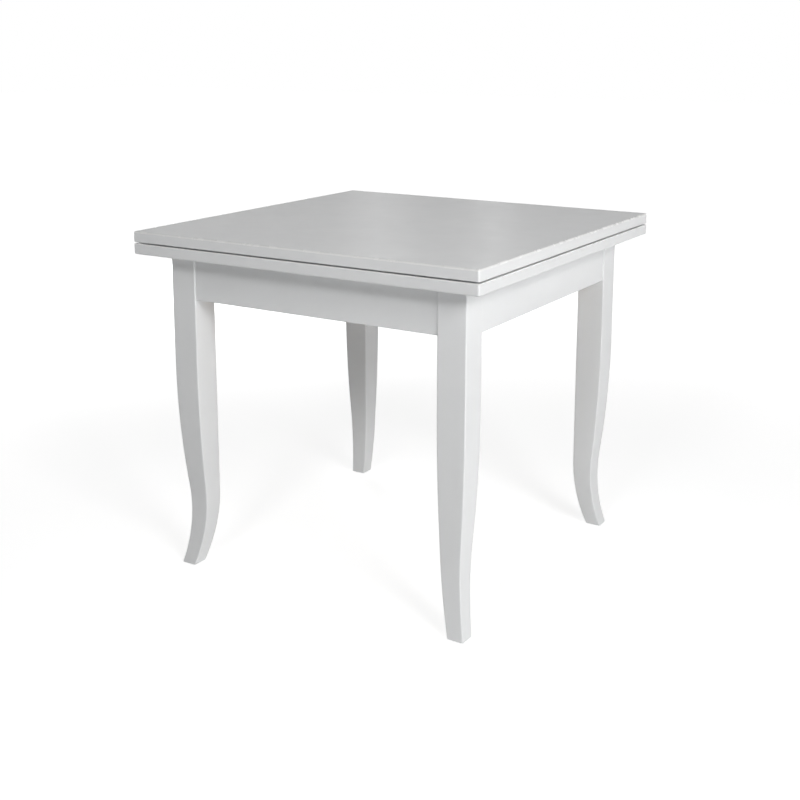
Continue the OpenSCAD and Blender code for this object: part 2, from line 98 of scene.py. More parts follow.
def hexColour(code):
    # sRGB hex to the linear colour that the shaders take
    parts = [int(code[i:i + 2], 16) / 255 for i in (0, 2, 4)]
    linear = [p / 12.92 if p <= 0.04045 else ((p + 0.055) / 1.055) ** 2.4 for p in parts]
    return (*linear, 1)


def addNode(tree, kind, settings=None, inputs=None):
    # one node, with its own settings, and inputs that are values or sockets to link; sockets that share
    # a name go by number: a colour mix has its share at 0, its colours at 6 and 7, its result at 2
    node = tree.nodes.new(kind)
    for field, value in (settings or {}).items():
        setattr(node, field, value)
    for socket, value in (inputs or {}).items():
        if isinstance(value, bpy.types.NodeSocket):
            tree.links.new(value, node.inputs[socket])
        else:
            node.inputs[socket].default_value = value
    return node


def emptyTree(owner):
    # the cleared nodes of a material or a world
    owner.use_nodes = True
    owner.node_tree.nodes.clear()
    return owner.node_tree


def newMaterial(name):
    # a material with its shader and the piece's own coordinates
    material = bpy.data.materials.new(name)
    tree = emptyTree(material)
    shader = addNode(tree, "ShaderNodeBsdfPrincipled")
    addNode(tree, "ShaderNodeOutputMaterial", inputs={"Surface": shader.outputs["BSDF"]})
    place = addNode(tree, "ShaderNodeTexCoord")
    return material, tree, shader, place.outputs["Object"]


def grainScale(width, length, grain):
    # the scale on each axis of a pattern with this size in m across and along the grain
    return [1 / length if axis == grain else 1 / width for axis in "xyz"]


# lacquer, on every piece that shows in the closed table

lacquerLook = {
    "face": {"colour": "E6E7E7", "shade": "DFE0E1", "smooth": 0.28, "dull": 0.36},
    # the arris coat's lighter colour is a painted highlight; its lower roughness is a real smoother gloss
    "arris": {"colour": "F4F4F3", "shade": "EFEFEE", "smooth": 0.24, "dull": 0.30},
    "patch": 0.16,  # m, width of the cloudy patches of tint
    "rubbed": 1 / 26,  # m, 38 mm, the patches that rubbing leaves smoother or duller
    "peel": 0.007,  # m, drawn coarser: real orange peel is 1 to 3 mm and wouldn't show
    "peelDepth": 0.0004,
    "grainWidth": 0.0022,  # m, drawn coarser: real pores are 0.1 to 0.3 mm and wouldn't show
    "grainLength": 0.09,
    "grainDepth": 0.0003,
}


def satinLacquer(name, coat="face", grain=None):
    # satin polyurethane lacquer, sprayed and rubbed: soft sheen, faint orange peel, even white;
    # on solid wood the grain telegraphs through a little; the arris coat on the leaves' upper arrises is
    # a lighter colour, a painted highlight that draws a light line round the top, and a smoother gloss
    material, tree, shader, place = newMaterial(name)
    look = lacquerLook[coat]
    cloud = addNode(tree, "ShaderNodeTexNoise", inputs={
        "Vector": place, "Scale": 1 / lacquerLook["patch"], "Detail": 3.0, "Roughness": 0.55})
    # with the arris coat these colours are lighter, a painted highlight
    tint = addNode(tree, "ShaderNodeMix", {"data_type": "RGBA"}, {
        0: cloud.outputs["Fac"], 6: hexColour(look["colour"]), 7: hexColour(look["shade"])})
    tree.links.new(tint.outputs[2], shader.inputs["Base Color"])
    handled = addNode(tree, "ShaderNodeTexNoise", inputs={
        "Vector": place, "Scale": 1 / lacquerLook["rubbed"], "Detail": 5.0, "Roughness": 0.6})
    gloss = addNode(tree, "ShaderNodeMapRange", inputs={
        "Value": handled.outputs["Fac"], "From Min": 0.3, "From Max": 0.7,
        "To Min": look["smooth"], "To Max": look["dull"]})
    tree.links.new(gloss.outputs["Result"], shader.inputs["Roughness"])
    peel = addNode(tree, "ShaderNodeTexNoise", inputs={
        "Vector": place, "Scale": 1 / lacquerLook["peel"], "Detail": 2.0, "Roughness": 0.4})
    bump = addNode(tree, "ShaderNodeBump", inputs={
        "Height": peel.outputs["Fac"], "Strength": 0.08, "Distance": lacquerLook["peelDepth"]})
    if grain:
        stretch = addNode(tree, "ShaderNodeMapping", inputs={
            "Vector": place,
            "Scale": grainScale(lacquerLook["grainWidth"], lacquerLook["grainLength"], grain)})
        pores = addNode(tree, "ShaderNodeTexNoise", inputs={
            "Vector": stretch.outputs["Vector"], "Scale": 1.0, "Detail": 2.0})
        bump = addNode(tree, "ShaderNodeBump", inputs={
            "Height": pores.outputs["Fac"], "Strength": 0.05, "Distance": lacquerLook["grainDepth"],
            "Normal": bump.outputs["Normal"]})
    tree.links.new(bump.outputs["Normal"], shader.inputs["Normal"])
    shader.inputs["IOR"].default_value = 1.5
    return material


# beech, on the rails, sliders, batten, dowels and corner blocks

beechLook = {
    "light": "DDBE95",
    "dark": "C79F72",
    "fleck": "A97C52",
    "bandWidth": 0.011,  # m, spacing of the soft bands
    "bandLength": 0.25,
    "fleckWidth": 0.0009,  # m, drawn coarser: real ray flecks are 1 to 4 mm long and wouldn't show
    "fleckLength": 0.009,
    "fleckShare": 0.65,  # how dark the flecks are, of their full colour
    "reliefDepth": 0.0003,
    "smooth": 0.42,
    "dull": 0.58,
}


def sealedBeech(name, grain, turn=0.0):
    # steamed beech, planed and sealed: pinkish straw, soft bands and short darker ray flecks
    material, tree, shader, place = newMaterial(name)
    turned = addNode(tree, "ShaderNodeMapping", inputs={
        "Vector": place, "Rotation": (0, 0, math.radians(turn))})
    bands = addNode(tree, "ShaderNodeMapping", inputs={
        "Vector": turned.outputs["Vector"],
        "Scale": grainScale(beechLook["bandWidth"], beechLook["bandLength"], grain)})
    bandNoise = addNode(tree, "ShaderNodeTexNoise", inputs={
        "Vector": bands.outputs["Vector"], "Scale": 1.0, "Detail": 4.0, "Distortion": 0.6})
    wood = addNode(tree, "ShaderNodeMix", {"data_type": "RGBA"}, {
        0: bandNoise.outputs["Fac"],
        6: hexColour(beechLook["light"]),
        7: hexColour(beechLook["dark"])})
    rays = addNode(tree, "ShaderNodeMapping", inputs={
        "Vector": turned.outputs["Vector"],
        "Scale": grainScale(beechLook["fleckWidth"], beechLook["fleckLength"], grain)})
    rayNoise = addNode(tree, "ShaderNodeTexNoise", inputs={
        "Vector": rays.outputs["Vector"], "Scale": 1.0, "Detail": 1.0})
    flecks = addNode(tree, "ShaderNodeMapRange", inputs={
        "Value": rayNoise.outputs["Fac"], "From Min": 0.60, "From Max": 0.70,
        "To Min": 0.0, "To Max": beechLook["fleckShare"]})
    colour = addNode(tree, "ShaderNodeMix", {"data_type": "RGBA"}, {
        0: flecks.outputs["Result"], 6: wood.outputs[2], 7: hexColour(beechLook["fleck"])})
    tree.links.new(colour.outputs[2], shader.inputs["Base Color"])
    relief = addNode(tree, "ShaderNodeBump", inputs={
        "Height": rayNoise.outputs["Fac"], "Strength": 0.15, "Distance": beechLook["reliefDepth"]})
    tree.links.new(relief.outputs["Normal"], shader.inputs["Normal"])
    sheen = addNode(tree, "ShaderNodeMapRange", inputs={
        "Value": bandNoise.outputs["Fac"],
        "To Min": beechLook["smooth"], "To Max": beechLook["dull"]})
    tree.links.new(sheen.outputs["Result"], shader.inputs["Roughness"])
    return material


# steel, zinc plated on bolts and screws, nickel plated on the hinges

zincLook = {
    "bright": "C9CDD2",
    "dark": "AEB3BA",
    "cloud": 1 / 220,  # m, 4.5 mm
    "rubWidth": 1 / 300,  # m, 3.3 mm both ways, because small parts are tumbled
    "rubLength": 1 / 300,
    "rubDepth": 0.0001,
    "smooth": 0.24,
    "dull": 0.42,
}
nickelLook = {
    "bright": "BFBBB4",
    "dark": "A29E96",
    "cloud": 1 / 220,
    "rubWidth": 1 / 1500,  # m, 0.7 mm, drawn coarser: real rub lines are under 0.1 mm
    "rubLength": 1 / 60,  # m, 17 mm along the sheet
    "rubDepth": 0.0001,
    "smooth": 0.20,
    "dull": 0.42,
}


def platedSteel(name, look):
    # plated steel: zinc is bluish and cloudy, nickel warm and rubbed along the sheet
    material, tree, shader, place = newMaterial(name)
    cloud = addNode(tree, "ShaderNodeTexNoise", inputs={
        "Vector": place, "Scale": 1 / look["cloud"], "Detail": 4.0, "Roughness": 0.6})
    tint = addNode(tree, "ShaderNodeMix", {"data_type": "RGBA"}, {
        0: cloud.outputs["Fac"], 6: hexColour(look["bright"]), 7: hexColour(look["dark"])})
    tree.links.new(tint.outputs[2], shader.inputs["Base Color"])
    stretch = addNode(tree, "ShaderNodeMapping", inputs={
        "Vector": place, "Scale": grainScale(look["rubWidth"], look["rubLength"], "y")})
    rub = addNode(tree, "ShaderNodeTexNoise", inputs={
        "Vector": stretch.outputs["Vector"], "Scale": 1.0, "Detail": 3.0})
    gloss = addNode(tree, "ShaderNodeMapRange", inputs={
        "Value": rub.outputs["Fac"], "From Min": 0.3, "From Max": 0.7,
        "To Min": look["smooth"], "To Max": look["dull"]})
    tree.links.new(gloss.outputs["Result"], shader.inputs["Roughness"])
    relief = addNode(tree, "ShaderNodeBump", inputs={
        "Height": rub.outputs["Fac"], "Strength": 0.12, "Distance": look["rubDepth"]})
    tree.links.new(relief.outputs["Normal"], shader.inputs["Normal"])
    shader.inputs["Metallic"].default_value = 1.0
    return material


# felt, on the glide strips

feltLook = {
    "dark": "8B8984",
    "light": "B9B7B0",
    "fibre": 1 / 1400,  # m, 0.7 mm, drawn coarser: real fibres are 0.03 mm and wouldn't show
    "napDepth": 0.0006,
    "rough": 0.95,
    "sheen": 0.3,
}


def pressedFelt(name):
    # pressed wool felt: grey fibres in all directions, no shine
    material, tree, shader, place = newMaterial(name)
    fibre = addNode(tree, "ShaderNodeTexNoise", inputs={
        "Vector": place, "Scale": 1 / feltLook["fibre"], "Detail": 4.0, "Roughness": 0.8,
        "Distortion": 2.0})
    tint = addNode(tree, "ShaderNodeMix", {"data_type": "RGBA"}, {
        0: fibre.outputs["Fac"], 6: hexColour(feltLook["dark"]), 7: hexColour(feltLook["light"])})
    tree.links.new(tint.outputs[2], shader.inputs["Base Color"])
    nap = addNode(tree, "ShaderNodeBump", inputs={
        "Height": fibre.outputs["Fac"], "Strength": 0.6, "Distance": feltLook["napDepth"]})
    tree.links.new(nap.outputs["Normal"], shader.inputs["Normal"])
    shader.inputs["Roughness"].default_value = feltLook["rough"]
    shader.inputs["Sheen Weight"].default_value = feltLook["sheen"]
    return material


# rubber, on the slide buffers and the leaf bumpers

rubberLook = {
    "black": "1F1F20",
    "dusty": "333334",
    "bloom": 1 / 420,  # m, 2.4 mm, the dusty patches
    "skinDepth": 0.0002,
    "rough": 0.72,
}


def mattRubber(name):
    # moulded EPDM rubber: nearly black, dusty and matt
    material, tree, shader, place = newMaterial(name)
    bloom = addNode(tree, "ShaderNodeTexNoise", inputs={
        "Vector": place, "Scale": 1 / rubberLook["bloom"], "Detail": 4.0, "Roughness": 0.7})
    tint = addNode(tree, "ShaderNodeMix", {"data_type": "RGBA"}, {
        0: bloom.outputs["Fac"], 6: hexColour(rubberLook["black"]), 7: hexColour(rubberLook["dusty"])})
    tree.links.new(tint.outputs[2], shader.inputs["Base Color"])
    skin = addNode(tree, "ShaderNodeBump", inputs={
        "Height": bloom.outputs["Fac"], "Strength": 0.25, "Distance": rubberLook["skinDepth"]})
    tree.links.new(skin.outputs["Normal"], shader.inputs["Normal"])
    shader.inputs["Roughness"].default_value = rubberLook["rough"]
    return material


# nylon, on the foot glides

nylonLook = {
    "milky": "E6E3DA",
    "creamy": "D8D4C9",
    "skin": 1 / 900,  # m, 1.1 mm, drawn coarser: a real spark-eroded skin is under 0.1 mm
    "skinDepth": 0.0001,
    "rough": 0.45,
}


def mouldedNylon(name):
    # natural nylon, moulded: milky, slightly waxy, fine spark-eroded skin
    material, tree, shader, place = newMaterial(name)
    skin = addNode(tree, "ShaderNodeTexNoise", inputs={
        "Vector": place, "Scale": 1 / nylonLook["skin"], "Detail": 3.0})
    tint = addNode(tree, "ShaderNodeMix", {"data_type": "RGBA"}, {
        0: skin.outputs["Fac"], 6: hexColour(nylonLook["milky"]), 7: hexColour(nylonLook["creamy"])})
    tree.links.new(tint.outputs[2], shader.inputs["Base Color"])
    relief = addNode(tree, "ShaderNodeBump", inputs={
        "Height": skin.outputs["Fac"], "Strength": 0.2, "Distance": nylonLook["skinDepth"]})
    tree.links.new(relief.outputs["Normal"], shader.inputs["Normal"])
    shader.inputs["Roughness"].default_value = nylonLook["rough"]
    return material


lacquerBoard = satinLacquer("satin lacquer on board")
# the lighter lacquer for the leaves' upper arrises, whose colour is a painted highlight
lacquerArrisHighlight = satinLacquer("satin lacquer with a painted highlight, on an arris", coat="arris")
lacquerAlongX = satinLacquer("satin lacquer on wood along x", grain="x")
lacquerAlongY = satinLacquer("satin lacquer on wood along y", grain="y")
lacquerAlongZ = satinLacquer("satin lacquer on wood along z", grain="z")
beechAlongX = sealedBeech("sealed beech along x", grain="x")
beechAlongY = sealedBeech("sealed beech along y", grain="y")
beechRising = sealedBeech("sealed beech, corner blocks front left and back right", grain="x", turn=45)
beechFalling = sealedBeech("sealed beech, corner blocks front right and back left", grain="x", turn=-45)
zincSteel = platedSteel("zinc plated steel", zincLook)
nickelSteel = platedSteel("nickel plated steel", nickelLook)
greyFelt = pressedFelt("pressed wool felt")
blackRubber = mattRubber("moulded rubber")
naturalNylon = mouldedNylon("moulded nylon")
print("materials: made")


# helpers for the pieces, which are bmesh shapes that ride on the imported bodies

meshLimits = {
    "weld": 1e-6,  # m, points nearer than this become one
    "level": 1e-5,  # m, points nearer than this count as level
    "sharp": 1.0,  # radians between two faces, past which their edge is a corner to round
    "shadeRound": 38,  # degrees between two faces, up to which they shade as one
    "flatLead": 90,  # how strongly flats lead the shading beside them, of 100
}

# name and side of each corner of the frame
frameCorners = [(end + "_" + side, signX, signY)
                for side, signX in (("left", -1), ("right", 1))
                for end, signY in (("front", -1), ("back", 1))]


def addBox(bm, low, high):
    low, high = Vector(low), Vector(high)
    place = Matrix.Translation((low + high) / 2) @ Matrix.Diagonal((*(high - low), 1))
    bmesh.ops.create_cube(bm, size=1, matrix=place)


def rise(edge):
    return abs(edge.verts[0].co.z - edge.verts[1].co.z)


def sharpEdges(bm):
    return [e for e in bm.edges if e.calc_face_angle(0) > meshLimits["sharp"]]


def levelEdges(bm, height):
    return [e for e in bm.edges if all(abs(v.co.z - height) < meshLimits["level"] for v in e.verts)]


def roundEdges(bm, edges, radius, segments):
    bmesh.ops.bevel(bm, geom=edges, offset=radius, offset_type="OFFSET", segments=segments,
                    profile=0.5, affect="EDGES", material=-1)


def spinOutline(bm, outline, steps):
    # a closed turned body from its half outline, radius and height
    verts = [bm.verts.new((r, 0, z)) for r, z in outline]
    edges = [bm.edges.new(pair) for pair in zip(verts, verts[1:])]
    bmesh.ops.spin(bm, geom=verts + edges, axis=(0, 0, 1), cent=(0, 0, 0), angle=math.tau,
                   steps=steps, use_merge=True)
    bmesh.ops.remove_doubles(bm, verts=bm.verts, dist=meshLimits["weld"])


def makeObject(name, bm):
    mesh = bpy.data.meshes.new(name)
    bm.to_mesh(mesh)
    bm.free()
    piece = bpy.data.objects.new(name, mesh)
    scene.collection.objects.link(piece)
    return piece


def finishPiece(piece, body, materials, replaced):
    # soft edges shade round, flats stay flat, the piece takes its body's motion, and the imported
    # piece that it replaces is hidden
    mesh = piece.data
    for face in mesh.polygons:
        face.use_smooth = True
    mesh.set_sharp_from_angle(angle=math.radians(meshLimits["shadeRound"]))
    for material in materials:
        mesh.materials.append(material)
    weighted = piece.modifiers.new("flat faces lead", "WEIGHTED_NORMAL")
    weighted.weight = meshLimits["flatLead"]
    weighted.keep_sharp = True
    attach(piece, body)
    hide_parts(replaced)


# sabre legs: a square swept up from the foot, its outer faces hollow at the ankle and full above it

legShape = {
    "out": 0.369,  # outer faces, from the table's middle
    "side": 0.065,
    "foot": 0.0375,  # side of the square at the glide
    "bottom": 0.002,  # heights above the floor
    "top": 0.724,
    "blockStart": 0.626,  # from here up the inner corner is planed flat for the corner block
    "bend": 0.480,  # heights above the leg's bottom: below this the outer faces curve,
    "waist": 0.135,  # here they lie deepest,
    "innerBend": 0.171,  # and below this the inner faces curve outwards
    "turnRise": 0.052,  # above the waist, where the hollow turns full
    "waistDepth": 0.0175,
    "steps": 60,
    "arris": 0.0028,
    "toe": 0.0016,
    "flat": 0.008,
}


def outerDepth(z):
    # how far an outer face lies inside its straight part: three parabolas that meet smoothly
    waist, bend, turnRise = legShape["waist"], legShape["bend"], legShape["turnRise"]
    if z < waist:
        return legShape["waistDepth"] * (1 - ((waist - z) / waist) ** 2)
    if z < waist + turnRise:
        return legShape["waistDepth"] * (1 - (z - waist) ** 2 / ((bend - waist) * turnRise))
    if z < bend:
        return legShape["waistDepth"] * (bend - z) ** 2 / ((bend - waist) * (bend - waist - turnRise))
    return 0


def innerDepth(z):
    # how far an inner face lies outside its straight part
    reach = legShape["innerBend"]
    return (legShape["side"] - legShape["foot"]) * max(0, (reach - z) / reach) ** 2


def makeLeg(name, signX, signY):
    bm = bmesh.new()
    inner = legShape["out"] - legShape["side"]
    bmesh.ops.create_grid(bm, x_segments=1, y_segments=1, size=0.5)
    top = bm.faces[:][0]
    curved = [legShape["bend"] * i / legShape["steps"] for i in range(legShape["steps"] + 1)]
    straight = [legShape["blockStart"] - legShape["bottom"], legShape["top"] - legShape["bottom"]]
    for level, z in enumerate(curved + straight):
        if level:
            below = top
            grown = bmesh.ops.extrude_face_region(bm, geom=[top])["geom"]
            top = [g for g in grown if isinstance(g, bmesh.types.BMFace)][0]
        if level > 1:
            bmesh.ops.delete(bm, geom=[below], context="FACES_ONLY")
        near, far = innerDepth(z), legShape["side"] - outerDepth(z)
        middle = top.calc_center_median()
        for vert in top.verts:
            vert.co = (inner + (far if vert.co.x > middle.x else near),
                       inner + (far if vert.co.y > middle.y else near), legShape["bottom"] + z)
    bmesh.ops.recalc_face_normals(bm, faces=bm.faces)

    # the inner corner above the blocks' lower end is planed flat, the other corners are rounded
    corner = [e for e in bm.edges
              if all(v.co.z > legShape["blockStart"] - meshLimits["level"] for v in e.verts)
              and all(abs(v.co.x - inner) + abs(v.co.y - inner) < meshLimits["level"] for v in e.verts)]
    roundEdges(bm, corner, legShape["flat"] * math.sqrt(2), segments=1)
    halfStep = legShape["bend"] / legShape["steps"] / 2
    upright = [e for e in sharpEdges(bm) if rise(e) > halfStep]
    roundEdges(bm, upright, legShape["arris"], segments=5)
    roundEdges(bm, levelEdges(bm, legShape["bottom"]), legShape["toe"], segments=3)
    bmesh.ops.scale(bm, vec=(signX, signY, 1), verts=bm.verts)
    bmesh.ops.recalc_face_normals(bm, faces=bm.faces)
    finishPiece(makeObject("sabre_" + name, bm), "frame", [lacquerAlongZ], name)


for corner, signX, signY in frameCorners:
    makeLeg("leg_" + corner, signX, signY)
print("legs: made")


# aprons: planed boards between the legs, their lower edges rounded by hand

apronShape = {
    "inner": 0.344,  # the two faces, from the table's middle
    "outer": 0.366,
    "halfLength": 0.304,
    "bottom": 0.626,
    "top": 0.724,
    "edge": 0.0019,
}


def makeApron(name, turns):
    bm = bmesh.new()
    addBox(bm, (-apronShape["halfLength"], apronShape["inner"], apronShape["bottom"]),
           (apronShape["halfLength"], apronShape["outer"], apronShape["top"]))
    low = [e for e in levelEdges(bm, apronShape["bottom"])
           if abs(e.verts[0].co.x - e.verts[1].co.x) > apronShape["halfLength"]]
    roundEdges(bm, low, apronShape["edge"], segments=4)
    bmesh.ops.rotate(bm, verts=bm.verts, matrix=Matrix.Rotation(math.pi / 2 * turns, 3, "Z"))
    bmesh.ops.recalc_face_normals(bm, faces=bm.faces)
    wood = lacquerAlongX if turns % 2 == 0 else lacquerAlongY
    finishPiece(makeObject("rail_" + name, bm), "frame", [wood], name)


for turns, name in enumerate(("apron_back", "apron_left", "apron_front", "apron_right")):
    makeApron(name, turns)
print("aprons: made")


# leaves: two equal boards with soft arrises, seats cut for the hinges on the left edge

leafShape = {
    "half": 0.425,
    "thick": 0.024,
    "lower": 0.726,  # undersides above the floor
    "upper": 0.753,
    "corner": 0.004,
    "arris": 0.0018,  # at the gap
    "outerArris": 0.0040,
    "highlightArrisTilt": (0.1, 0.995),  # a face whose normal points up this much is an upper arris, which takes the painted highlight
}
hingeSeat = {
    "places": (-0.330, 0.0, 0.330),
    "pinX": -0.4206,
    "plateEnd": -0.3941,
    "plateHalf": 0.0305,
    "plateDepth": 0.0025,
    "notchEnd": -0.4171,
    "notchHalf": 0.0227,
    "notchDepth": 0.0067,
    "overcut": 0.002,  # how far the cutters stand out of the board
}


def cutAway(piece, boxes):
    # takes a row of boxes out of a piece
    bm = bmesh.new()
    for low, high in boxes:
        addBox(bm, low, high)
    cutter = makeObject("cutter", bm)
    cut = piece.modifiers.new("cut", "BOOLEAN")
    cut.object = cutter
    cut.operation = "DIFFERENCE"
    cut.solver = "EXACT"
    bpy.context.view_layer.update()
    shown = piece.evaluated_get(bpy.context.evaluated_depsgraph_get())
    carved = bpy.data.meshes.new_from_object(shown)
    piece.modifiers.clear()
    piece.data = carved
    bpy.data.objects.remove(cutter)


def makeLeaf(name, bottom, seatsUp):
    bm = bmesh.new()
    half, thick = leafShape["half"], leafShape["thick"]
    addBox(bm, (-half, -half, bottom), (half, half, bottom + thick))
    roundEdges(bm, [e for e in bm.edges if rise(e) > thick / 2], leafShape["corner"], segments=6)
    face = bottom + thick if seatsUp else bottom
    outer = [e for e in sharpEdges(bm) if abs(e.verts[0].co.z - face) > thick / 2]
    roundEdges(bm, outer, leafShape["outerArris"], segments=6)
    atGap = [e for e in sharpEdges(bm) if abs(e.verts[0].co.z - face) < thick / 2]
    roundEdges(bm, atGap, leafShape["arris"], segments=6)
    leaf = makeObject(name, bm)
    away = 1 if seatsUp else -1
    overcut = hingeSeat["overcut"]
    plates = []
    notches = []
    for y in hingeSeat["places"]:
        depths = sorted((face - away * hingeSeat["plateDepth"], face + away * overcut))
        plates.append(((hingeSeat["pinX"], y - hingeSeat["plateHalf"], depths[0]),
                       (hingeSeat["plateEnd"], y + hingeSeat["plateHalf"], depths[1])))
        depths = sorted((face - away * hingeSeat["notchDepth"], face + away * overcut))
        notches.append(((-half - overcut, y - hingeSeat["notchHalf"], depths[0]),
                        (hingeSeat["notchEnd"], y + hingeSeat["notchHalf"], depths[1])))
    cutAway(leaf, plates)
    cutAway(leaf, notches)
    leaf.data.name = name
    # faces on the upper arrises take the lacquer whose lighter colour is a painted highlight
    least, most = leafShape["highlightArrisTilt"]
    for polygon in leaf.data.polygons:
        polygon.material_index = int(least < polygon.normal.z < most)
    return leaf


finishPiece(makeLeaf("board_lower", leafShape["lower"], seatsUp=True), "lower_leaf",
            [lacquerBoard, lacquerArrisHighlight], "lower_leaf")
finishPiece(makeLeaf("board_upper", leafShape["upper"], seatsUp=False), "upper_leaf",
            [lacquerBoard, lacquerArrisHighlight], "upper_leaf")
print("leaves: made")


# foot glides: turned nylon discs, the rim rounded where it meets the floor

glideShape = {
    "middle": 0.35025,  # from the table's middle, both ways
    "radius": 0.012,
    "thick": 0.002,
    "rim": 0.0009,
    "rimAngles": (30, 60, 90),
    "pinRadius": 0.0015,
    "pinTop": 0.018,
    "steps": 40,
}


def makeGlide(name, x, y):
    bm = bmesh.new()
    radius, rim = glideShape["radius"], glideShape["rim"]
    outline = [(0, 0), (radius - rim, 0)]
    outline += [(radius - rim + rim * math.sin(math.radians(a)), rim - rim * math.cos(math.radians(a)))
                for a in glideShape["rimAngles"]]
    outline += [(radius, glideShape["thick"]), (glideShape["pinRadius"], glideShape["thick"]),
                (glideShape["pinRadius"], glideShape["pinTop"]), (0, glideShape["pinTop"])]
    spinOutline(bm, outline, glideShape["steps"])
    bmesh.ops.recalc_face_normals(bm, faces=bm.faces)
    bmesh.ops.translate(bm, verts=bm.verts, vec=(x, y, 0))
    finishPiece(makeObject("turned_" + name, bm), "frame", [naturalNylon], name)


for corner, signX, signY in frameCorners:
    makeGlide("foot_glide_" + corner, signX * glideShape["middle"], signY * glideShape["middle"])
print("glides: made")


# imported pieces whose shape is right, but whose real edges are sanded, tumbled or moulded round

easedEdges = {
    # width of the rounding in m, its segments, slot and finish of the piece
    "guide_rail_front": (0.0010, 3, "beech", beechAlongX),
    "guide_rail_back": (0.0010, 3, "beech", beechAlongX),
    "slider_front": (0.0010, 3, "beech", beechAlongX),
    "slider_back": (0.0010, 3, "beech", beechAlongX),
    "cross_rail": (0.0012, 3, "beech", beechAlongY),
    "leaf_batten": (0.0012, 3, "beech", beechAlongY),
    "corner_block_front_left": (0.0010, 3, "beech", beechRising),
    "corner_block_back_right": (0.0010, 3, "beech", beechRising),
    "corner_block_front_right": (0.0010, 3, "beech", beechFalling),
    "corner_block_back_left": (0.0010, 3, "beech", beechFalling),
    "bolt_washers": (0.0003, 2, "zinc_steel", zincSteel),
    "bolt_nuts": (0.0005, 2, "zinc_steel", zincSteel),
    "slide_buffers": (0.0010, 4, "rubber", blackRubber),
    "leaf_bumpers": (0.0004, 3, "rubber", blackRubber),
}
for part in ("lower_hinge_plate_", "upper_hinge_plate_", "hinge_link_"):
    for place in ("front", "middle", "back"):
        easedEdges[part + place] = (0.00025, 2, "nickel_steel", nickelSteel)

easeLimits = {
    "flat": 0.5,  # degrees between two triangles, up to which they are one flat face
    "corner": 40,  # degrees between two faces, past which their edge is eased
}


def easeEdges(name, width, segments, slot, material):
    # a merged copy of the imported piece, its flats joined into whole faces, its edges rounded
    node = frame["nodes"][name]
    bm = bmesh.new()
    bm.from_mesh(node.data)
    bmesh.ops.remove_doubles(bm, verts=bm.verts, dist=meshLimits["weld"])
    bmesh.ops.dissolve_limit(bm, angle_limit=math.radians(easeLimits["flat"]), verts=bm.verts,
                             edges=bm.edges)
    corners = [e for e in bm.edges if e.calc_face_angle(0) > math.radians(easeLimits["corner"])]
    roundEdges(bm, corners, width, segments)
    bmesh.ops.recalc_face_normals(bm, faces=bm.faces)
    finishPiece(makeObject("eased_" + name, bm), body_of(node)[0], [material], name)


for name, look in easedEdges.items():
    easeEdges(name, *look)
print("eased pieces: made")


# hanger bolts: a turned body with a rolled thread on the tail that the nut runs on

boltShape = {
    "start": 0.3939,  # from the table's middle, along the diagonal
    "heights": (0.653, 0.697),
    "length": 0.084,
    "radius": 0.004,
    "core": 0.0034,  # radius under the thread
    "pitch": 0.00125,
    "ridge": (0.42, 0.54, 0.96),  # where the crest starts and ends and the root starts, in pitches
    "ridgeSunk": 0.0001,  # how far the ridge's foot lies in the core
    "threaded": 0.010,
    "chamfer": 0.0007,
    "tip": 0.004,  # length of the point in the leg
    "tipRadius": 0.0007,
    "steps": 20,  # a turn
}


def addThread(bm, start, turns):
    # one ridge wound round the core, its two ends closed
    crest, core, pitch = boltShape["radius"], boltShape["core"] - boltShape["ridgeSunk"], boltShape["pitch"]
    crestStart, crestEnd, rootStart = boltShape["ridge"]
    ridge = [bm.verts.new((r, 0, start + z)) for r, z in (
        (core, 0), (crest, pitch * crestStart), (crest, pitch * crestEnd), (core, pitch * rootStart))]
    edges = [bm.edges.new(pair) for pair in zip(ridge, ridge[1:] + ridge[:1])]
    bmesh.ops.spin(bm, geom=ridge + edges, axis=(0, 0, 1), cent=(0, 0, 0), angle=math.tau * turns,
                   steps=boltShape["steps"] * turns, dvec=(0, 0, pitch / boltShape["steps"]))
    bmesh.ops.holes_fill(bm, edges=[e for e in bm.edges if e.is_boundary], sides=4)


def makeBolts():
    bm = bmesh.new()
    radius, core, length = boltShape["radius"], boltShape["core"], boltShape["length"]
    threaded, chamfer = boltShape["threaded"], boltShape["chamfer"]
    spinOutline(bm, [(0, 0), (core - chamfer, 0), (core, chamfer),
                     (core, threaded), (radius, threaded + radius - core),
                     (radius, length - boltShape["tip"]), (boltShape["tipRadius"], length), (0, length)],
                boltShape["steps"])
    addThread(bm, chamfer, int((threaded - 2 * chamfer) / boltShape["pitch"]))
    one = bpy.data.meshes.new("one bolt")
    bm.to_mesh(one)
    bm.clear()
    for _, signX, signY in frameCorners:
        outward = Vector((signX, signY, 0)).normalized()
        for z in boltShape["heights"]:
            place = Matrix.Translation(outward * boltShape["start"] + Vector((0, 0, z)))
            place = place @ outward.to_track_quat("Z", "Y").to_matrix().to_4x4()
            before = len(bm.verts)
            bm.from_mesh(one)
            bm.verts.ensure_lookup_table()
            bmesh.ops.transform(bm, matrix=place, verts=bm.verts[before:])
    bpy.data.meshes.remove(one)
    bmesh.ops.recalc_face_normals(bm, faces=bm.faces)
    finishPiece(makeObject("threaded_hanger_bolts", bm), "frame", [zincSteel],
                "hanger_bolts")


makeBolts()
print("bolts: made")


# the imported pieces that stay, with their finishes


def dress(names, material):
    for name in names:
        for place in frame["nodes"][name].material_slots:
            place.material = material


dress(["frame_dowels"], beechAlongX)
dress(["corner_block_screws", "guide_rail_screws", "slider_screws", "batten_screws",
       "lower_hinge_pins", "upper_hinge_pins"], zincSteel)
dress(["lower_hinge_screws", "upper_hinge_screws"], nickelSteel)
dress(["glide_strip_front", "glide_strip_back", "glide_strip_left", "glide_strip_right"], greyFelt)
print("packed pieces: dressed")


# floor, world and lamps

